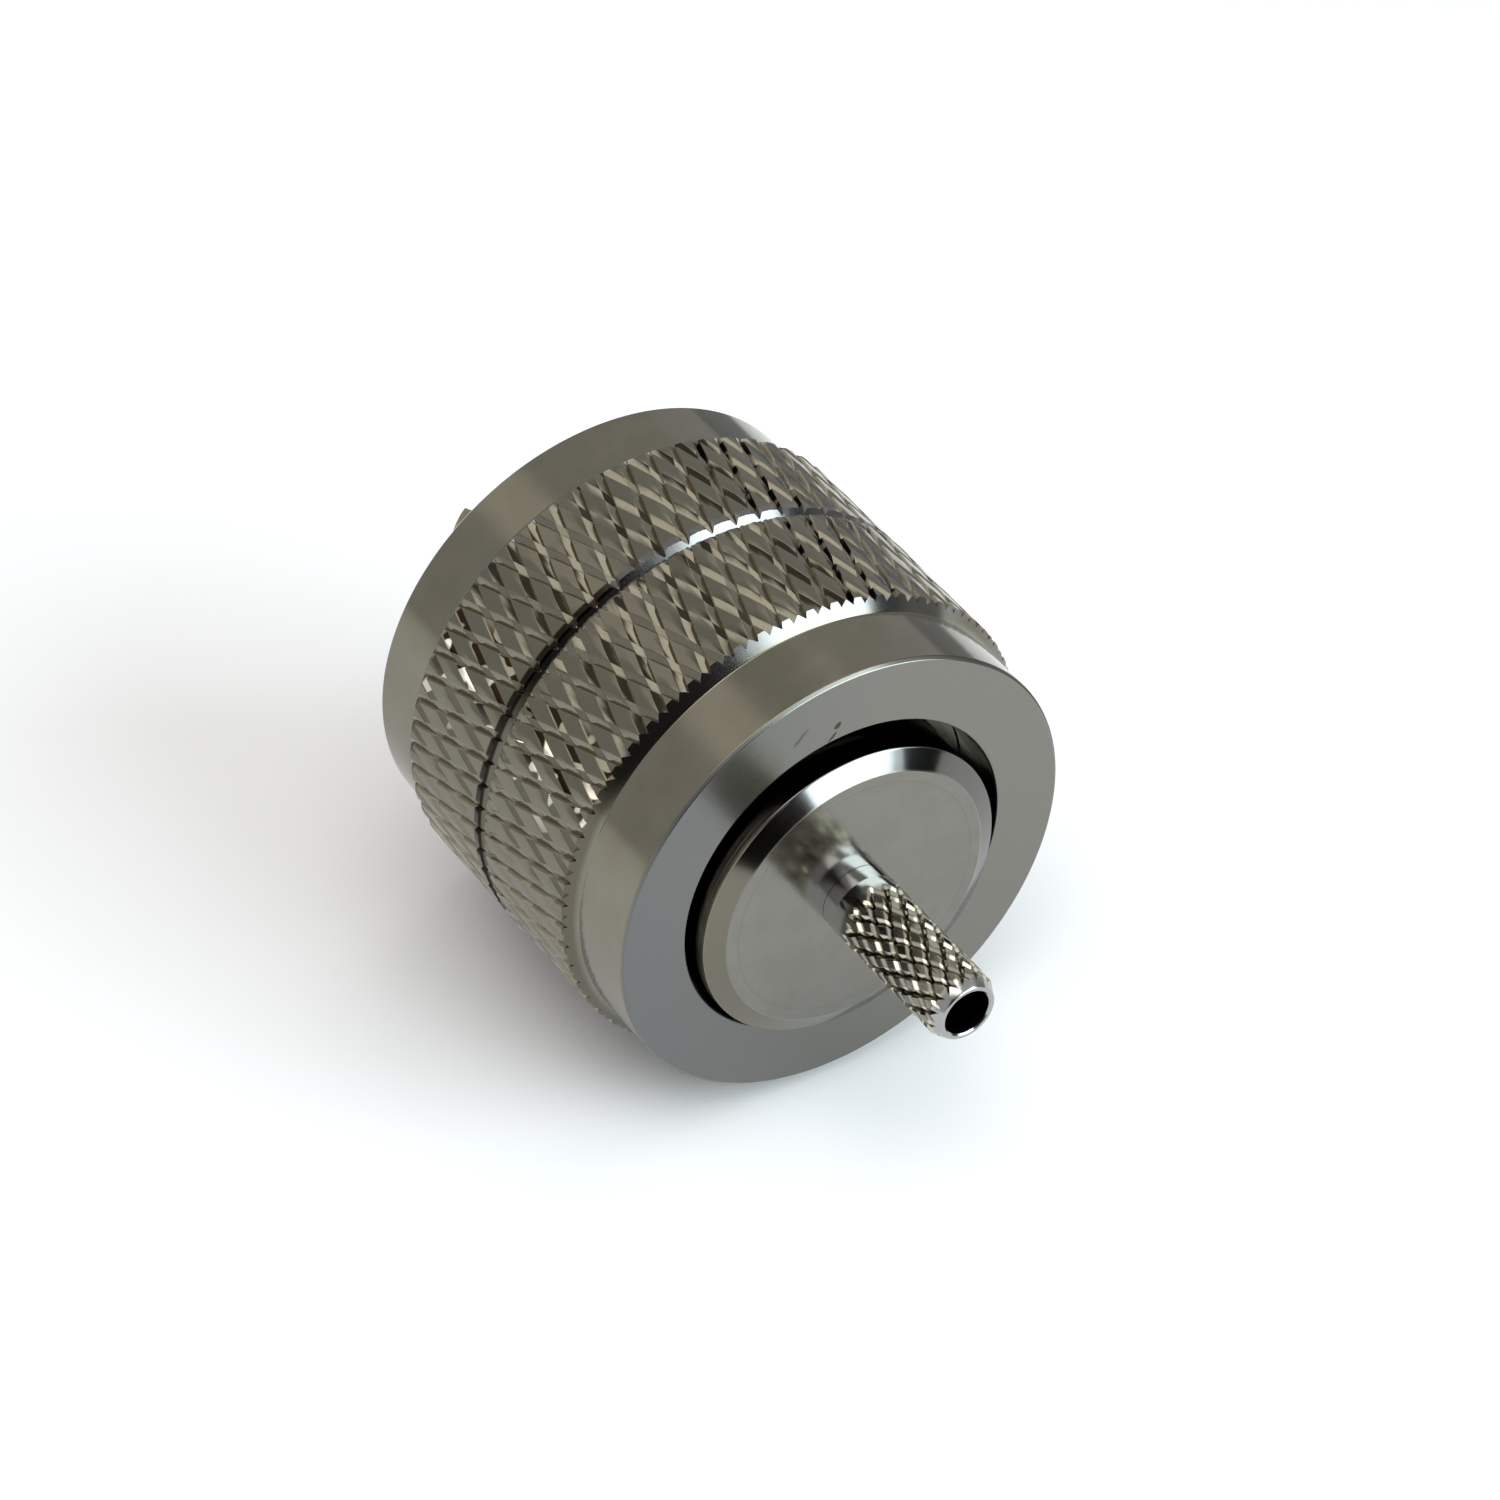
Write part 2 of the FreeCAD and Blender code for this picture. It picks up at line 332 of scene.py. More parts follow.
def plated_nut_finish():
    """Bright plate over turned and rolled metal, with a few marks on the rear face, darker knurl grooves and
    painted shade and highlights.
    """
    material, wiring, connect = new_finish("nut_plate", {"Metallic": 1.0})
    at = place_on_axis(wiring, nut_lift)
    marks = turning_marks(wiring, at, 5.0, 24.0)
    mottle = wiring.noise(at.position, 0.7, 4.0, 0.6)
    speckle = wiring.noise(at.position, 9.0, 3.0, 0.7)
    past_rear = at.x - band_rear_x
    before_front = band_front_x - at.x
    in_band = past_rear.between(0.0, 0.2) * before_front.between(0.0, 0.2)
    in_band = in_band * (at.across - collar_radius + 0.1).between(0.0, 0.1)
    in_knurl = past_rear.between(0.4, 0.5) * before_front.between(0.4, 0.5)
    in_knurl = in_knurl * (at.x - groove_x - 0.1).size().between(0.3, 0.4)
    rear_face = (nut_rear_x + 0.1 - at.x).between(0.0, 0.05)
    rim = (at.x - nut_rear_x).between(0.01, 0.03) * (nut_rear_x + 0.14 - at.x).between(0.0, 0.04)
    nicks, hatch = rear_face_marks(wiring, at, mottle, rear_face)

    plate = wiring.blend(mottle.between(0.35, 0.65), colour(0.198, 0.184, 0.142), colour(0.214, 0.2, 0.158))
    plate = wiring.blend(in_band * (1 - in_knurl), plate, groove_plate_with_painted_shade(wiring, at))
    plate, wall = knurl_plate(wiring, at, plate, in_knurl, speckle)
    # Painted shade: the rear face is painted darker and cooler towards +Y.
    face = wiring.blend(at.y.between(-3.0, 8.5), colour(0.206, 0.2, 0.178), colour(0.162, 0.166, 0.163))
    plate = wiring.blend(rear_face, plate, face)
    plate = wiring.blend(nicks * 0.9, plate, colour(0.05, 0.04, 0.03))
    # Painted shade: the rear rim is painted almost black towards -Y.
    painted_dark_rim = rim * (-0.6 - at.y).between(0.0, 1.6)
    plate = wiring.blend(painted_dark_rim * 0.85, plate, colour(0.035, 0.033, 0.028))

    roughness = 0.1 + mottle * 0.05 + speckle.between(0.5, 0.8) * 0.03 + hatch * 0.05 + rear_face * 0.05
    roughness = roughness + wall * 0.35 + rim * 0.25
    height = marks * (1 - in_band) + speckle * (0.1 + in_knurl) + hatch * 0.4 - nicks * 2.0
    connect(Base_Color=plate, Roughness=roughness, Normal=wiring.bump(5e-7, height))
    return material


def plated_body_finish():
    """Bright plate over fine turning, ringed on the disc's edge, darker down in the stem's knurl, with
    painted shade and reflection on the disc's edge and a painted highlight on the neck.
    """
    material, wiring, connect = new_finish("body_plate", {"Metallic": 1.0})
    at = place_on_axis(wiring)
    marks = turning_marks(wiring, at, 6.0, 30.0)
    mottle = wiring.noise(at.position, 0.9, 4.0, 0.6)
    speckle = wiring.noise(at.position, 12.0, 3.0, 0.7)
    disc_face = (disc_face_x + 0.04 - at.x).between(0.0, 0.02)
    stem = (neck_radius + 0.05 - at.across).between(0.0, 0.03)
    stem = stem * (disc_face_x - 0.01 - at.x).between(0.0, 0.02)
    knurl = (stem_knurl_front_x - at.x).between(-0.2, 0.2) * stem
    depth = stem_radius - at.across
    sunk = depth.between(0.09, 0.14) * knurl
    flank = depth.between(0.02, 0.05) * (1 - sunk) * knurl
    stem_end = (stem_end_x + 0.4 - at.x).between(0.0, 0.15)
    disc_side = (at.x - disc_edge_x).between(-0.03, 0.02) * (at.across - 5.5).between(0.0, 0.1)
    disc_side = disc_side * (disc_edge_x + 0.62 - at.x).between(0.0, 0.2) * at.y.between(1.5, 4.5)
    chamfer = (1 - disc_face) * (disc_edge_x + 0.04 - at.x).between(0.0, 0.03)
    line = (at.across - 4.69).size().between(0.05, 0.0) * disc_face

    plate = wiring.blend(mottle.between(0.35, 0.65), colour(0.203, 0.197, 0.174), colour(0.218, 0.212, 0.188))
    plate = wiring.blend(line * 0.25, plate, colour(0.12, 0.115, 0.1))
    # Painted shade: the disc's chamfer is painted darker towards -Y and warmer towards +Y, and lighter and
    # neutral near the top.
    edge = wiring.blend(at.y.between(-3.0, 3.0), colour(0.135, 0.132, 0.12), colour(0.166, 0.154, 0.122))
    edge = wiring.blend(at.z.between(4.2, 5.3), edge, colour(0.2, 0.198, 0.19))
    plate = wiring.blend(chamfer, plate, edge)
    # Painted reflection: the disc's side is painted a lighter brown on part of the +Y side.
    plate = wiring.blend(disc_side * 0.8, plate, colour(0.25, 0.22, 0.155))
    # Painted highlight and shade: the neck is painted very bright where Y is above -0.5 and darker below
    # -0.9.
    neck = wiring.blend(at.y.between(-0.5, -0.9), colour(0.6, 0.61, 0.62), colour(0.3, 0.3, 0.3))
    plate = wiring.blend(stem * (1 - knurl), plate, neck)
    plate = wiring.blend(knurl, plate, colour(0.25, 0.238, 0.2))
    plate = wiring.blend(flank, plate, colour(0.52, 0.49, 0.4))
    plate = wiring.blend(sunk * 0.85, plate, colour(0.07, 0.056, 0.034))
    plate = wiring.blend(stem_end, plate, colour(0.37, 0.37, 0.36))

    roughness = 0.085 + mottle * 0.04 + sunk * 0.06 + disc_face * (1 - stem) * 0.05 + disc_side * 0.2
    rings = wiring.noise(wiring.vector(at.x * 16.0, 0.0, at.angle * 0.6), 1.0, 3.0, 0.7)
    height = marks * (1 - stem) + speckle * (0.2 + stem) + rings * disc_side * 90.0
    connect(Base_Color=plate, Roughness=roughness, Normal=wiring.bump(4e-7, height))
    return material


def pin_finish():
    """Duller plate with a yellowish cast and fine scratches along the pin."""
    material, wiring, connect = new_finish("pin_yellowed_plate", {"Metallic": 1.0})
    at = place_on_axis(wiring)
    marks = turning_marks(wiring, at, 4.0, 20.0)
    mottle = wiring.noise(at.position, 1.1, 4.0, 0.6)
    scratches = wiring.noise(wiring.vector(at.x * 0.4, at.angle * 30.0, at.across), 1.0, 3.0, 0.6)
    plate = wiring.blend(mottle.between(0.3, 0.7), colour(0.29, 0.265, 0.175), colour(0.34, 0.315, 0.22))
    roughness = 0.22 + mottle * 0.1 + scratches.between(0.5, 0.8) * 0.08
    connect(Base_Color=plate, Roughness=roughness, Normal=wiring.bump(1e-6, marks + scratches))
    return material


def insulator_finish():
    """Machined white fluoropolymer, waxy and faintly ringed."""
    constants = {"IOR": 1.38, "Subsurface Weight": 0.25, "Subsurface Scale": 0.0008}
    material, wiring, connect = new_finish("machined_fluoropolymer", constants)
    at = place_on_axis(wiring)
    marks = turning_marks(wiring, at, 4.0, 16.0)
    cloud = wiring.noise(at.position, 0.5, 3.0)
    tint = wiring.blend(cloud.between(0.3, 0.7), colour(0.83, 0.82, 0.78), colour(0.89, 0.88, 0.85))
    tint = wiring.blend(marks.between(0.5, 0.75) * 0.15, tint, colour(0.7, 0.69, 0.65))
    connect(Base_Color=tint, Roughness=0.42 + marks * 0.15, Normal=wiring.bump(6e-6, marks))
    return material


# Mesh makers

def at_angle(x, radius, angle):
    """Point in metres at an angle about the axis, from +Z towards -Y."""
    return Vector((x, -radius * math.sin(angle), radius * math.cos(angle))) * MM


def smooth(low, high, value):
    """0 up to low and 1 from high on, with a soft start and end."""
    share = min(max((value - low) / (high - low), 0), 1)
    return share * share * (3 - 2 * share)


def rounded(corners, steps=6, guard=0.05):
    """Closed outline in (x, radius) from corners that each give a rounding radius.

    A long straight run has an extra point by each rounding, so that its shading stays flat.
    """
    outline = []
    count = len(corners)
    for index, (x, radius, fillet) in enumerate(corners):
        here = Vector((x, radius))
        if fillet == 0 or radius == 0:
            outline.append(here)
            continue
        before = Vector(corners[index - 1][:2]) - here
        after = Vector(corners[(index + 1) % count][:2]) - here
        back, on = before.normalized(), after.normalized()
        half_opening = before.angle(after) / 2
        tangent = min(fillet / math.tan(half_opening), 0.45 * before.length, 0.45 * after.length)
        true_fillet = tangent * math.tan(half_opening)
        middle = here + (back + on).normalized() * (true_fillet / math.sin(half_opening))
        start = here + back * tangent
        end = here + on * tangent
        if before.length > 4 * (tangent + guard):
            outline.append(start + back * guard)
        for step in range(steps + 1):
            share = 0.5 - 0.5 * math.cos(math.pi * step / steps)
            spoke = (start - middle).lerp(end - middle, share)
            outline.append(middle + spoke.normalized() * true_fillet)
        if after.length > 4 * (tangent + guard):
            outline.append(end + on * guard)
    return [(point.x, point.y) for point in outline]


def shade(data, sharp_degrees=17):
    """Smooth shading up to the given angle."""
    for polygon in data.polygons:
        polygon.use_smooth = True
    data.set_sharp_from_angle(angle=math.radians(sharp_degrees))


def finished(name, mesh):
    """Object from a bmesh, with its faces outwards."""
    bmesh.ops.recalc_face_normals(mesh, faces=mesh.faces)
    data = bpy.data.meshes.new(name)
    mesh.to_mesh(data)
    mesh.free()
    shade(data)
    piece = bpy.data.objects.new(name, data)
    bpy.context.scene.collection.objects.link(piece)
    return piece


def turned(name, outline, sides=256):
    """Outline in (x, radius) spun about the axis, closed on itself or on the axis."""
    mesh = bmesh.new()
    rings = []
    for x, radius in outline:
        count = sides if radius > 1e-6 else 1
        angles = [2 * math.pi * side / sides for side in range(count)]
        rings.append([mesh.verts.new(at_angle(x, radius, angle)) for angle in angles])
    for near, far in zip(rings, rings[1:] + rings[:1]):
        if len(near) == 1 and len(far) == 1:
            continue
        for side in range(sides):
            following = (side + 1) % sides
            loop = [near[side % len(near)], near[following % len(near)]]
            loop += [far[following % len(far)], far[side % len(far)]]
            mesh.faces.new(list(dict.fromkeys(loop)))
    return finished(name, mesh)


def settled(piece):
    """The piece with its modifiers worked into a plain mesh."""
    graph = bpy.context.evaluated_depsgraph_get()
    data = bpy.data.meshes.new_from_object(piece.evaluated_get(graph))
    piece.modifiers.clear()
    piece.data = data
    return piece


def combined(piece, operation, other):
    """The piece united with, cut by or kept inside another, which is used up."""
    modifier = piece.modifiers.new("shape", "BOOLEAN")
    modifier.operation = operation
    modifier.solver = "MANIFOLD"
    modifier.object = other
    settled(piece)
    bpy.data.objects.remove(other)
    shade(piece.data)
    return piece


def end_rims(mesh, middle_x):
    """The open edges at the low end of a tube along X, and those at its high end."""
    open_edges = [edge for edge in mesh.edges if edge.is_boundary]
    low = [edge for edge in open_edges if edge.verts[0].co.x < middle_x * MM]
    high = [edge for edge in open_edges if edge.verts[0].co.x >= middle_x * MM]
    return low, high


# The diamond knurls

def diamond(name, knurl, edge=0.03):
    """One raised diamond as a small curved grid that lies on the knurl's axis line +Z."""
    half_angle = math.pi / knurl["around"]
    depth = knurl["depth"]
    rear_land, front_land = knurl["lands"]
    rear_slope = depth / (1 - rear_land)
    front_slope = depth / (1 - front_land)
    places = [-1.0, -rear_land - edge, -rear_land + edge, (front_land - rear_land) / 2,
              front_land - edge, front_land + edge, 1.0]
    drops = [depth, edge * rear_slope, 0.0, 0.0, 0.0, edge * front_slope, depth]
    mesh = bmesh.new()
    rows = []
    for down, low in zip(places, drops):
        row = []
        for over, high in zip(places, drops):
            x = (down + over) / 2 * knurl["row_step"]
            angle = (down - over) / 2 * half_angle
            row.append(mesh.verts.new(at_angle(x, knurl["top_radius"] - max(low, high), angle)))
        rows.append(row)
    for near, far in zip(rows, rows[1:]):
        for side in range(len(places) - 1):
            mesh.faces.new([near[side], near[side + 1], far[side + 1], far[side]])
    return finished(name, mesh)


def lattice_tree():
    """Geometry nodes that set a diamond out in staggered rows round the axis."""
    tree = bpy.data.node_groups.new("staggered_rows", "GeometryNodeTree")
    tree.interface.new_socket("Geometry", in_out="INPUT", socket_type="NodeSocketGeometry")
    for name, kind in (
            ("Around", "NodeSocketInt"), ("Rows", "NodeSocketInt"), ("Row Step", "NodeSocketFloat"),
            ("First Row", "NodeSocketFloat"), ("Turn", "NodeSocketFloat"), ("Unevenness", "NodeSocketFloat"),
            ("Finish", "NodeSocketMaterial")):
        tree.interface.new_socket(name, in_out="INPUT", socket_type=kind)
    tree.interface.new_socket("Geometry", in_out="OUTPUT", socket_type="NodeSocketGeometry")
    wiring = Wiring(tree)
    start = wiring.add("NodeGroupInput")
    given = {output.name: Signal(wiring, output) for output in start.socket.node.outputs}
    around = given["Around"]
    index = wiring.add("GeometryNodeInputIndex")
    row = ((index + 0.5) / around).floor()
    column = index - row * around
    shift = row * 0.5 - (row * 0.5).floor()
    angle = given["Turn"] + (column + shift) * (2 * math.pi) / around
    place = wiring.vector(given["First Row"] + row * given["Row Step"], 0.0, 0.0)
    points = wiring.add("GeometryNodePoints", None, {0: around * given["Rows"], 1: place})
    turn = wiring.add("FunctionNodeAxisAngleToRotation", None, {0: (1, 0, 0), 1: angle})
    set_out = wiring.add(
        "GeometryNodeInstanceOnPoints", None,
        {"Points": points, "Instance": given["Geometry"], "Rotation": turn})
    real = wiring.add("GeometryNodeRealizeInstances", None, {0: set_out})
    joined = wiring.add("GeometryNodeMergeByDistance", None, {"Geometry": real, "Distance": 2e-6})
    place = wiring.add("GeometryNodeInputPosition")
    outward = wiring.vector_maths("NORMALIZE", wiring.vector_maths("MULTIPLY", place, (0, 1, 1)))
    swell = (wiring.noise(place, 700.0, 2.0) - 0.5) * given["Unevenness"]
    push = wiring.scaled(outward, swell)
    uneven = wiring.add("GeometryNodeSetPosition", None, {"Geometry": joined, "Offset": push})
    dressed = wiring.add("GeometryNodeSetMaterial", None, {"Geometry": uneven, "Material": given["Finish"]})
    wiring.add("NodeGroupOutput", None, {0: dressed})
    return tree


def knurled_core(name, tree, finish, knurl, lift, span):
    """Closed solid with a diamond knurl all round, run out plain to both ends of its span.

    The span gives x where the solid starts, where the knurl starts and stops, and where the solid stops.
    The function lift says, for an x and an angle, by what share the knurl is filled up and raised there.
    """
    start_x, from_x, to_x, stop_x = span
    row_step = knurl["row_step"]
    first = math.floor((from_x - knurl["row_x"]) / row_step)
    rows = math.ceil((to_x - knurl["row_x"]) / row_step) - first + 1
    turn = math.radians(knurl["turn_deg"]) + (first % 2) * math.pi / knurl["around"]
    piece = diamond(name, knurl)
    modifier = piece.modifiers.new("rows", "NODES")
    modifier.node_group = tree
    sizes = {
        "Around": knurl["around"], "Rows": rows, "Row Step": row_step * MM,
        "First Row": (knurl["row_x"] + first * row_step) * MM, "Turn": turn,
        "Unevenness": knurl["unevenness"] * MM, "Finish": finish}
    for socket in tree.interface.items_tree:
        if socket.in_out == "INPUT" and socket.name in sizes:
            modifier[socket.identifier] = sizes[socket.name]
    settled(piece)
    mesh = bmesh.new()
    mesh.from_mesh(piece.data)
    raised_radius = (knurl["top_radius"] + 0.05) * MM
    for vertex in mesh.verts:
        across = math.hypot(vertex.co.y, vertex.co.z)
        share = lift(vertex.co.x / MM, math.atan2(-vertex.co.y, vertex.co.z))
        growth = 1 + share * (raised_radius - across) / across
        vertex.co.y *= growth
        vertex.co.z *= growth
    for end_x, rim in zip((start_x, stop_x), end_rims(mesh, (from_x + to_x) / 2)):
        drawn = bmesh.ops.extrude_edge_only(mesh, edges=rim)["geom"]
        for item in drawn:
            if isinstance(item, bmesh.types.BMVert):
                item.co.x = end_x * MM
        edges = [item for item in drawn if isinstance(item, bmesh.types.BMEdge) and item.is_boundary]
        bmesh.ops.edgeloop_fill(mesh, edges=edges)
    bmesh.ops.recalc_face_normals(mesh, faces=mesh.faces)
    mesh.to_mesh(piece.data)
    mesh.free()
    return piece


# Thread in the nut's mouth

def threaded_rod(name, from_x, turns, pitch, low_radius, high_radius, sides=160):
    """Right-handed threaded rod that cuts the nut's internal thread."""
    outline = [(0.0, low_radius), (0.18, low_radius), (0.5, high_radius - 0.02)]
    outline += [(0.56, high_radius), (0.62, high_radius), (0.68, high_radius - 0.02)]
    mesh = bmesh.new()
    total = turns * sides
    lines = []
    for station in range(total + sides + 1):
        angle = 2 * math.pi * station / sides
        start = from_x + pitch * station / sides
        line = [(start + part * pitch, radius) for part, radius in outline]
        line = line if station <= total else line[:1]
        lines.append([mesh.verts.new(at_angle(x, radius, angle)) for x, radius in line])
    for station in range(total):
        near = lines[station] + [lines[station + sides][0]]
        far = lines[station + 1] + [lines[station + 1 + sides][0]]
        for side in range(len(outline)):
            mesh.faces.new([near[side], near[side + 1], far[side + 1], far[side]])
    for loose in [vertex for vertex in mesh.verts if not vertex.link_faces]:
        mesh.verts.remove(loose)
    low_rim, high_rim = end_rims(mesh, from_x + pitch * turns / 2)
    for tip_x, rim in ((from_x - 1.5 * pitch, low_rim), (from_x + (turns + 2.5) * pitch, high_rim)):
        apex = mesh.verts.new(at_angle(tip_x, 0, 0))
        for edge in rim:
            mesh.faces.new([edge.verts[0], edge.verts[1], apex])
    return finished(name, mesh)


# Pieces

def coupling_nut(tree, finish):
    """Knurled nut with its two shoulders, middle groove, rear lip and threaded mouth."""
    proud = knurl_radius + 0.06
    groove_floor = knurl_radius - groove_depth
    rise = proud - collar_radius
    nut = turned("coupling_nut_dressed", rounded([
        (nut_rear_x, hole_radius, 0.06),
        (nut_rear_x, collar_radius - collar_bevel, 0.04),
        (nut_rear_x + collar_bevel, collar_radius, 0.05),
        (band_rear_x, collar_radius, 0.05),
        (band_rear_x + rise, proud, 0.0),
        (groove_x - 0.28, proud, 0.0),
        (groove_x - 0.17, groove_floor, 0.04),
        (groove_x - 0.11, groove_floor, 0.04),
        (groove_x + proud - groove_floor - 0.11, proud, 0.0),
        (band_front_x - rise, proud, 0.0),
        (band_front_x, collar_radius, 0.05),
        (nut_front_x - 0.12, collar_radius, 0.05),
        (nut_front_x, collar_radius - 0.12, 0.03),
        (nut_front_x, thread_crest_radius + mouth_bevel, 0.05),
        (nut_front_x - mouth_bevel, thread_crest_radius, 0.03),
        (relief_end_x, thread_crest_radius, 0.03),
        (relief_end_x, relief_radius, 0.05),
        (nut_lip_x, relief_radius, 0.1),
        (nut_lip_x, hole_radius, 0.05),
    ]))
    combined(nut, "DIFFERENCE", threaded_rod(
        "thread_cut", relief_end_x - 0.7, thread_turns, thread_pitch,
        thread_crest_radius - 0.04, thread_crest_radius + thread_depth))

    def lift(x, angle):
        """The knurl swells into a smooth lip behind the groove."""
        run_out = 0.05 * math.sin(9 * angle + 1.3) + 0.04 * math.sin(23 * angle)
        risen = smooth(groove_x - 1.0 + run_out, groove_x - 0.6 + run_out, x)
        return risen * (1 - smooth(groove_x - 0.2, groove_x - 0.05, x)) * 0.7

    span = (nut_rear_x - 1, band_rear_x, band_front_x, nut_front_x + 1)
    combined(nut, "INTERSECT", knurled_core("knurled_core", tree, finish, nut_knurl, lift, span))
    nut.data.transform(Matrix.Translation((0, 0, nut_lift * MM)))
    return nut


def arc_block(name, x_span, radius_span, middle, half_width, steps=12):
    """Block between two radii, as wide on its inner side as on its outer."""
    mesh = bmesh.new()
    corners = {}
    for step in range(steps + 1):
        aside = half_width * (2 * step / steps - 1)
        for inner, radius in enumerate(radius_span):
            angle = middle + math.asin(aside / radius)
            for front, x in enumerate(x_span):
                corners[step, inner, front] = mesh.verts.new(at_angle(x, radius, angle))
    for step in range(steps):
        for first, second in (((0, 0), (0, 1)), ((1, 0), (1, 1)), ((0, 0), (1, 0)), ((0, 1), (1, 1))):
            mesh.faces.new([
                corners[(step,) + first], corners[(step,) + second],
                corners[(step + 1,) + second], corners[(step + 1,) + first]])
    for step in (0, steps):
        mesh.faces.new([corners[(step,) + end] for end in ((0, 0), (0, 1), (1, 1), (1, 0))])
    return finished(name, mesh)


def plug_body(tree, finish):
    """Turned body: toothed ring, flange, chamfered disc, neck and knurled stem."""
    body = turned("plug_body_dressed", rounded([
        (neck_end_x - 0.3, 0, 0),
        (neck_end_x - 0.3, neck_radius - 0.05, 0),
        (neck_end_x, neck_radius, 0),
        (disc_face_x, neck_radius, 0),
        (disc_face_x, disc_radius - disc_chamfer, 0.05),
        (disc_edge_x, disc_radius, 0.06),
        (flange_rear_x, disc_radius, 0.05),
        (flange_rear_x, flange_radius, 0.06),
        (flange_front_x, flange_radius, 0.1),
        (flange_front_x, ring_radius, 0.05),
        (rim_x, ring_radius, 0.08),
        (rim_x, rim_bore_radius, 0.08),
        (0.0, rim_bore_radius, 0.03),
        (0.0, insulator_radius, 0.04),
        (-insulator_length, insulator_radius, 0.03),
        (-insulator_length, 0, 0),
    ]))
    stem = turned("stem", [
        (stem_end_x, 0),
        (stem_end_x, stem_end_radius),
        (stem_end_x + 0.015, stem_end_radius + 0.03),
        (stem_end_x + 0.06, stem_end_radius + 0.07),
        (stem_end_x + stem_chamfer_length, stem_radius - 0.01),
        (neck_end_x + 0.1, stem_radius - 0.01),
        (neck_end_x + 0.2, neck_radius - 0.02),
        (neck_end_x + 0.2, 0),
    ], 128)

    def lift(x, angle):
        """The knurl runs out unevenly into the plain neck."""
        run_out = 0.2 * math.sin(2 * angle + 0.4) + 0.12 * math.sin(7 * angle + 2)
        run_out += 0.06 * math.sin(13 * angle)
        return smooth(stem_knurl_front_x - 0.25 + run_out, stem_knurl_front_x + 0.15 + run_out, x)

    span = (stem_end_x - 1, stem_end_x, neck_end_x, disc_face_x + 1)
    combined(stem, "INTERSECT", knurled_core("stem_core", tree, finish, stem_knurl, lift, span))
    combined(body, "UNION", stem)
    combined(body, "DIFFERENCE", turned("stem_bore_cut", [
        (stem_end_x - 1, 0),
        (stem_end_x - 1, stem_bore_radius + 0.05),
        (stem_end_x, stem_bore_radius + 0.05),
        (stem_end_x + 0.05, stem_bore_radius),
        (-insulator_length + 1, stem_bore_radius),
        (-insulator_length + 1, 0),
    ], 96))
    reach = (rim_bore_radius + 0.02, ring_radius - 0.02)
    for turn in (math.pi / 2, -math.pi / 2):
        tooth = arc_block("tooth", (rim_x - 0.3, rim_x + tooth_length), reach, turn, tooth_half_width)
        combined(body, "UNION", tooth)
    return body


def insulator():
    """Machined insulator with a soft outer edge round the pin."""
    return turned("insulator_dressed", rounded([
        (0.0, pin_tail_radius, 0),
        (-pin_tail_length, pin_tail_radius, 0),
        (-pin_tail_length, stem_bore_radius, 0.03),
        (-insulator_length, stem_bore_radius, 0.05),
        (-insulator_length, insulator_radius, 0.05),
        (0.0, insulator_radius, 0.1),
    ]))


def centre_pin():
    """Hollow pin whose tip is cut away on one side for the solder, by a round cutter laid aslant."""
    pin = turned("centre_pin_dressed", rounded([
        (-pin_tail_length, wire_hole_radius, 0.05),
        (-pin_tail_length, pin_tail_radius, 0.1),
        (0.0, pin_tail_radius, 0),
        (0.0, pin_radius, 0.04),
        (pin_length - 0.12, pin_radius, 0.08),
        (pin_length, pin_radius - 0.12, 0.05),
        (pin_length, pin_radius - pin_wall, 0.06),
        (pin_bore_end_x, pin_radius - pin_wall, 0),
        (0.25, wire_hole_radius, 0),
    ]), 160)
    slope = math.radians(side_cut_slope_deg)
    turn = math.radians(side_cut_turn_deg)
    across = at_angle(0, 1, turn) / MM
    along = at_angle(0, 1, turn + math.pi / 2) / MM
    middle = Vector((pin_length + side_cut_radius * math.sin(slope), 0, 0))
    middle += across * (side_cut_radius * math.cos(slope) - side_cut_depth)
    mesh = bmesh.new()
    radius = side_cut_radius * MM
    bmesh.ops.create_cone(mesh, cap_ends=True, segments=192, radius1=radius, radius2=radius, depth=8 * MM)
    upright = along.to_track_quat("Z", "Y").to_matrix().to_4x4()
    bmesh.ops.transform(mesh, matrix=Matrix.Translation(middle * MM) @ upright, verts=mesh.verts)
    return combined(pin, "DIFFERENCE", finished("pin_cut", mesh))


def dress(piece, material, body, node):
    """Gives a piece its finish and its body, and hides the solid that it stands for."""
    piece.data.materials.clear()
    piece.data.materials.append(material)
    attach(piece, body)
    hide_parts(node)


# The floor, the room, the lamps and the camera. Directions are an angle from +X and a height, in degrees.

def towards(azimuth, height):
    """Direction as X, Y and Z."""
    level = math.cos(math.radians(height))
    return (
        level * math.cos(math.radians(azimuth)), level * math.sin(math.radians(azimuth)),
        math.sin(math.radians(height)))


def floor():
    """Pale matt table top under the knurl's lowest point."""
    material, wiring, connect = new_finish("pale_floor", {"Roughness": 0.9, "Specular IOR Level": 0.1})
    cloud = wiring.noise(wiring.coordinates("Object"), 30.0, 2.0)
    connect(Base_Color=wiring.blend(cloud, grey(0.9), grey(0.93)))
    bpy.ops.mesh.primitive_plane_add(size=4.0, location=(0, 0, floor_z * MM))
    table = bpy.context.object
    table.name = "table_top"
    table.data.materials.append(material)


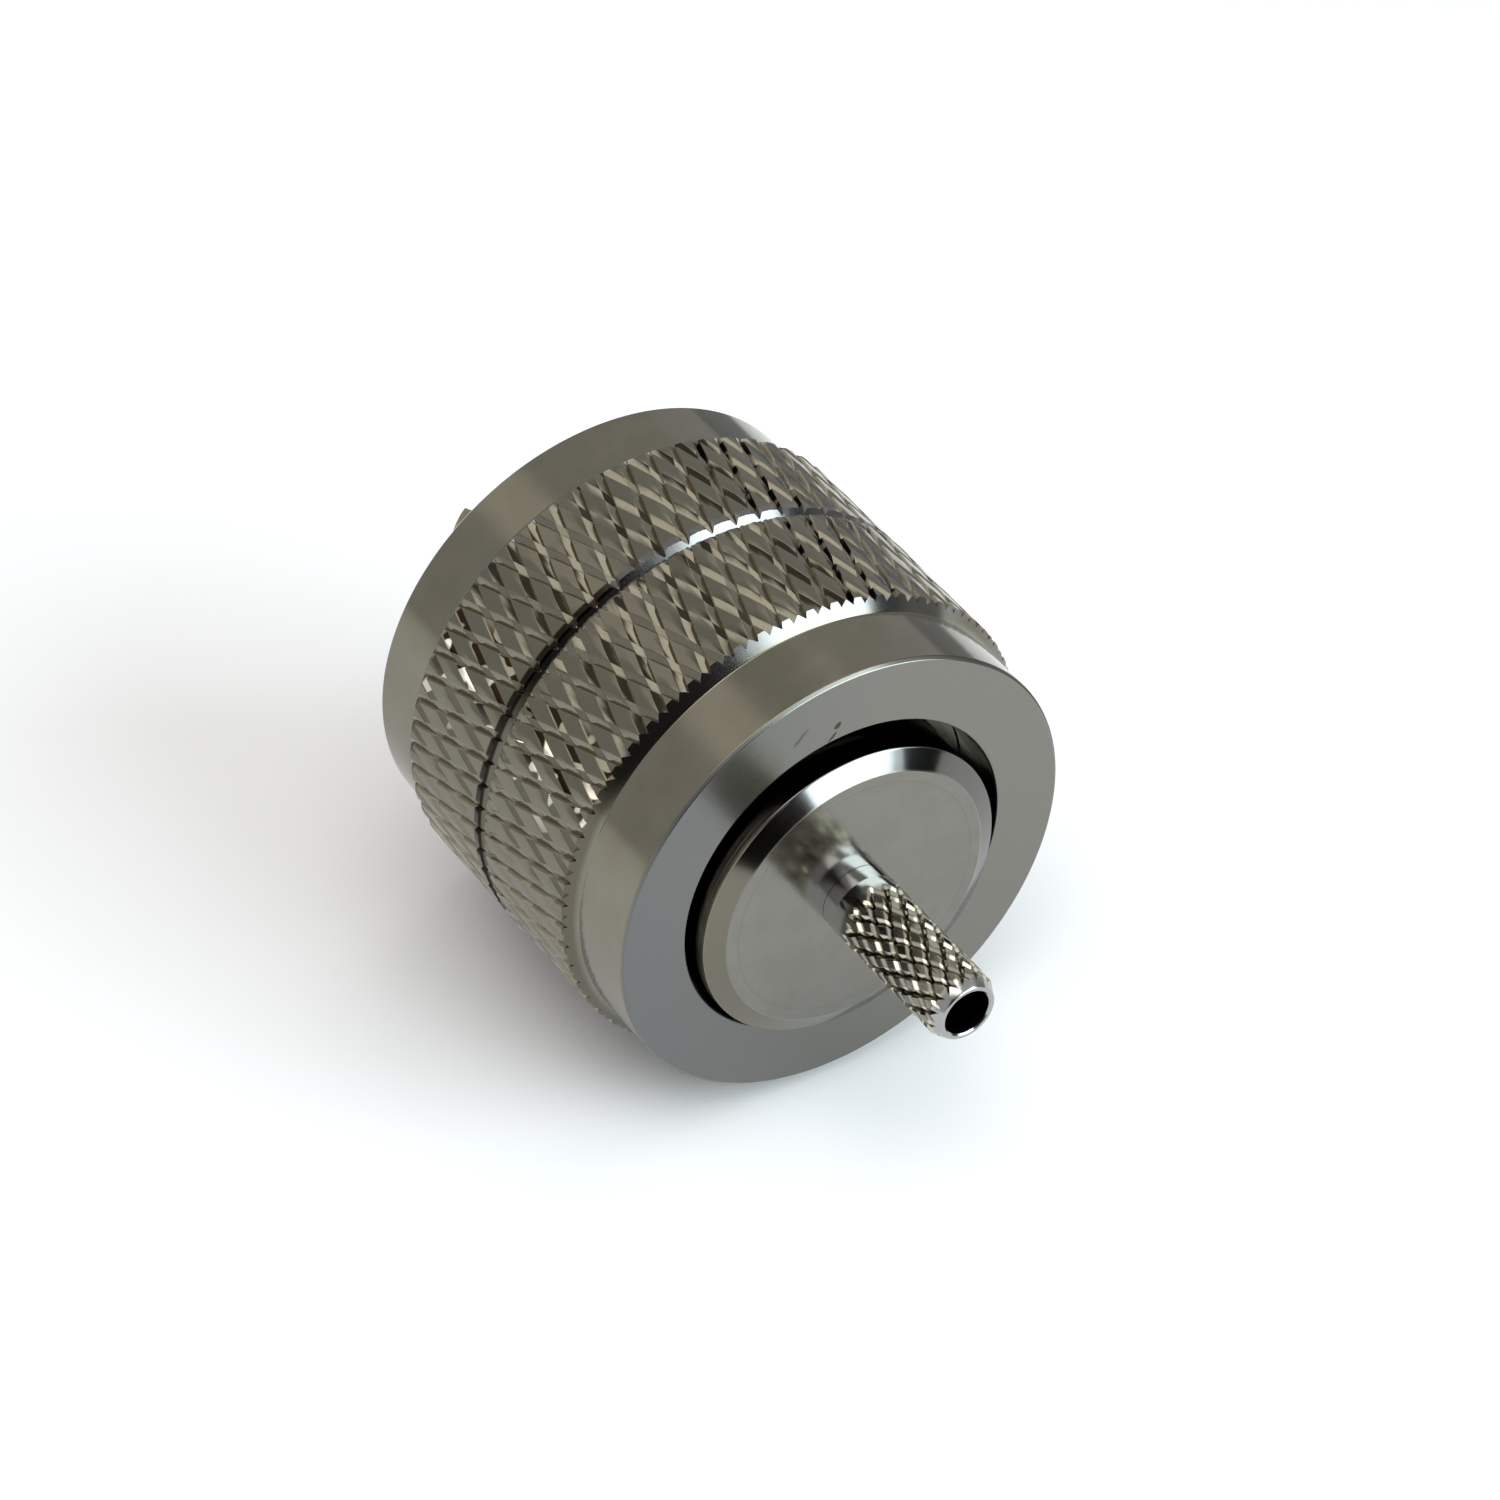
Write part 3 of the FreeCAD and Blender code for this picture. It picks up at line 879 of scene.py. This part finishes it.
def room():
    """The room that the metal mirrors: plain walls with a few lighter and darker places."""
    world = bpy.data.worlds.new("room")
    bpy.context.scene.world = world
    world.use_nodes = True
    world.node_tree.nodes.clear()
    wiring = Wiring(world.node_tree)
    direction = wiring.vector_maths("NORMALIZE", wiring.coordinates("Generated"))
    x, y, z = wiring.apart(direction)
    level = wiring.vector_maths("LENGTH", wiring.vector(x, y, 0.0), output=1)

    def patch(azimuth, height, inner, outer):
        """Round place in the room, full up to the inner angle and gone at the outer one."""
        near = wiring.vector_maths("DOT_PRODUCT", direction, towards(azimuth, height), output=1)
        return near.between(math.cos(math.radians(outer)), math.cos(math.radians(inner)))

    def screen(azimuth, half_width, top, soft=1.5):
        """Upright place in the room that reaches from the floor to a height."""
        ahead = (x * math.cos(math.radians(azimuth)) + y * math.sin(math.radians(azimuth))) / level
        edges = [math.cos(math.radians(half_width + way * soft)) for way in (1, -1)]
        over = [math.sin(math.radians(top + way * soft)) for way in (-1, 1)]
        return ahead.between(*edges) * (1 - z.between(*over))

    tone = wiring.blend(patch(52, 56, 6, 18), colour(0.62, 0.62, 0.63), colour(1.75, 1.7, 1.6))
    tone = wiring.blend(patch(311, 54, 5, 17), tone, colour(1.8, 1.75, 1.65))
    tone = wiring.blend(patch(24, 46, 5, 14), tone, colour(0.95, 0.93, 0.88))
    tone = wiring.blend(patch(352, 66, 8, 14), tone, colour(0.13, 0.12, 0.1))
    tone = wiring.blend(screen(255, 16, 30, 6), tone, colour(0.33, 0.33, 0.32))
    tone = wiring.blend(screen(240, 6, 26, 3), tone, colour(0.05, 0.05, 0.055))
    tone = wiring.blend(screen(161, 27, 45, 3), tone, colour(0.035, 0.03, 0.03))
    shine = wiring.add("ShaderNodeBackground", None, {"Color": tone, "Strength": 1.0})
    wiring.add("ShaderNodeOutputWorld", None, {"Surface": shine})


def lamp(name, place, size, power, tint):
    """Rectangular soft lamp at a place in metres, aimed at the plug."""
    light = bpy.data.lights.new(name, "AREA")
    light.shape = "RECTANGLE"
    light.size, light.size_y = size
    light.energy = power
    light.color = tint
    item = bpy.data.objects.new(name, light)
    item.location = place
    item.rotation_euler = (-place).to_track_quat("-Z", "Y").to_euler()
    bpy.context.scene.collection.objects.link(item)


def lamps():
    """A cold window that stands on the floor and a weak softbox high up near the camera."""
    lamp("window", Vector(towards(212, 22)) * 0.55, (0.49, 0.44), 4.1, (0.8, 0.93, 1.0))
    lamp("overhead", Vector(towards(150, 74)) * 0.6, (0.4, 0.4), 1.15, (1.0, 0.99, 0.96))


def card(name, azimuth, distance, width, height, tone):
    """Card stood on the floor beside the plug, out of the picture, for the metal's dark edges."""
    material, wiring, connect = new_finish(name, {"Specular IOR Level": 0.0, "Roughness": 1.0})
    cloud = wiring.noise(wiring.coordinates("Object"), 200.0)
    connect(Base_Color=wiring.blend(cloud, grey(tone), grey(tone * 1.6)))
    side = Vector(towards(azimuth + 90, 0)) * width / 2 * MM
    foot = Vector(towards(azimuth, 0)) * distance * MM + Vector((0, 0, floor_z * MM))
    rise = Vector((0, 0, height * MM))
    corners = (foot - side, foot + side, foot + side + rise, foot - side + rise)
    mesh = bmesh.new()
    mesh.faces.new([mesh.verts.new(corner) for corner in corners])
    piece = finished(name, mesh)
    piece.data.materials.append(material)
    piece.visible_camera = False
    piece.visible_shadow = False


def camera():
    """The photograph's view, found by fitting the nut's circles."""
    view = bpy.data.objects.new("camera", bpy.data.cameras.new("camera"))
    view.data.sensor_width = 36
    view.data.lens = 147.6
    view.data.clip_start = 0.01
    right = Vector((-0.5455, -0.8381, 0.0)).normalized()
    back = Vector((-0.6208, 0.4040, 0.6718)).normalized()
    up = back.cross(right).normalized()
    right = up.cross(back)
    axes = Matrix((right, up, back)).transposed().to_4x4()
    view.matrix_world = Matrix.Translation((-0.13090, 0.08467, 0.14209 + nut_lift * MM)) @ axes
    bpy.context.scene.collection.objects.link(view)
    bpy.context.scene.camera = view


lattice = lattice_tree()
nut_finish = plated_nut_finish()
body_finish = plated_body_finish()
dress(coupling_nut(lattice, nut_finish), nut_finish, "nut", "coupling_nut")
dress(plug_body(lattice, body_finish), body_finish, "plug", "plug_body")
dress(insulator(), insulator_finish(), "plug", "insulator")
dress(centre_pin(), pin_finish(), "plug", "centre_pin")
floor()
room()
lamps()
card("dark_strip_left", 170, 66, 28, 14, 0.012)
card("dark_strip_right", 232, 66, 30, 17, 0.012)
card("grey_strip_far", 312, 66, 50, 20, 0.25)
camera()
bpy.context.scene.view_settings.view_transform = "Standard"
